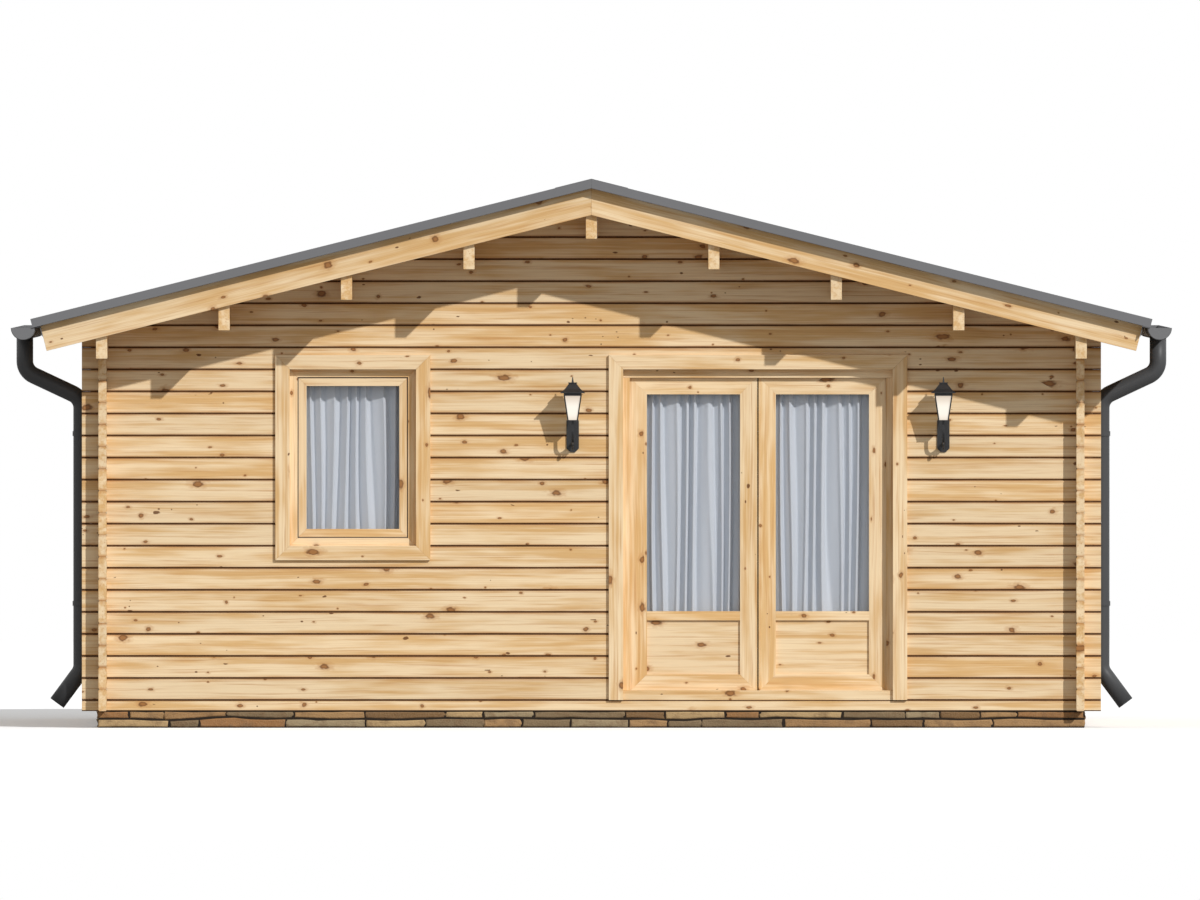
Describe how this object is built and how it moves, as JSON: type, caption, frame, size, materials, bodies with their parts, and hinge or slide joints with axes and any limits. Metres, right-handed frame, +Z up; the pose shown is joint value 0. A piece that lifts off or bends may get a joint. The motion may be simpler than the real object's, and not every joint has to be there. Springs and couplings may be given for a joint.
{
  "type": "log cabin",
  "caption": "Single-room log cabin with interlocking log corners, a low purlin roof, a glazed double door, a window, gutters, downpipes and wall lanterns.",
  "frame": {"origin": "on the ground, under the middle of the roof", "axes": "+Z up, +X to the right seen from the door, -Y the front wall with the door"},
  "size_m": [6.251, 4.94, 2.9631],
  "materials": {
    "log_pine": "planed, untreated pine",
    "roof_pine": "planed, untreated pine",
    "joinery_pine": "fine planed pine",
    "floor_pine": "planed floor boards",
    "stone": "rough coursed rubble",
    "roof_grey": "matt coated sheet",
    "rainwater_black": "satin",
    "lantern_black": "satin black",
    "lamp_glass": "frosted",
    "window_glass": "clear",
    "curtain": "sheer weave",
    "steel": "zinc plated"
  },
  "bodies": {
    "cabin": {"back_barge_boards": "roof_pine", "back_gable": "log_pine", "back_wall": "log_pine", "door_frame": "joinery_pine", "door_frame_hinges": "steel", "door_trim": "joinery_pine", "eave_fascias": "roof_pine", "floor_boards": "floor_pine", "floor_joists": "floor_pine", "front_barge_boards": "roof_pine", "front_gable": "log_pine", "front_sill_log": "log_pine", "front_wall_left": "log_pine", "front_wall_middle": "log_pine", "front_wall_right": "log_pine", "front_wall_under_window": "log_pine", "gutter_brackets": "rainwater_black", "left_downpipe": "rainwater_black", "left_gutter": "rainwater_black", "left_lantern": "lantern_black", "left_lantern_glass": "lamp_glass", "left_purlins": "roof_pine", "left_roof_boards": "roof_pine", "left_roof_panel": "roof_grey", "left_wall": "log_pine", "pipe_clips": "rainwater_black", "ridge_cap": "roof_grey", "ridge_purlin": "roof_pine", "right_downpipe": "rainwater_black", "right_gutter": "rainwater_black", "right_lantern": "lantern_black", "right_lantern_glass": "lamp_glass", "right_purlins": "roof_pine", "right_roof_boards": "roof_pine", "right_roof_panel": "roof_grey", "right_wall": "log_pine", "stone_plinth": "stone", "window_curtain": "curtain", "window_curtain_rod": "steel", "window_frame": "joinery_pine", "window_glass": "window_glass", "window_sash": "joinery_pine", "window_trim": "joinery_pine"},
    "left_door": {"left_door_leaf": "joinery_pine", "left_door_glass": "window_glass", "left_door_hinges": "steel", "left_door_curtain_rod": "steel", "left_door_curtain": "curtain"},
    "right_door": {"right_door_leaf": "joinery_pine", "right_door_glass": "window_glass", "right_door_hinges": "steel", "right_door_curtain_rod": "steel", "right_door_curtain": "curtain"}
  },
  "joints": [
    {"name": "left_door_swing", "type": "hinge", "parent": "cabin", "child": "left_door", "pos_m": [0.1935, -1.8047, 1], "axis": [0, 0, 1], "range_deg": [0, 100]},
    {"name": "right_door_swing", "type": "hinge", "parent": "cabin", "child": "right_door", "pos_m": [1.6045, -1.8047, 1], "axis": [0, 0, -1], "range_deg": [0, 100]}
  ]
}
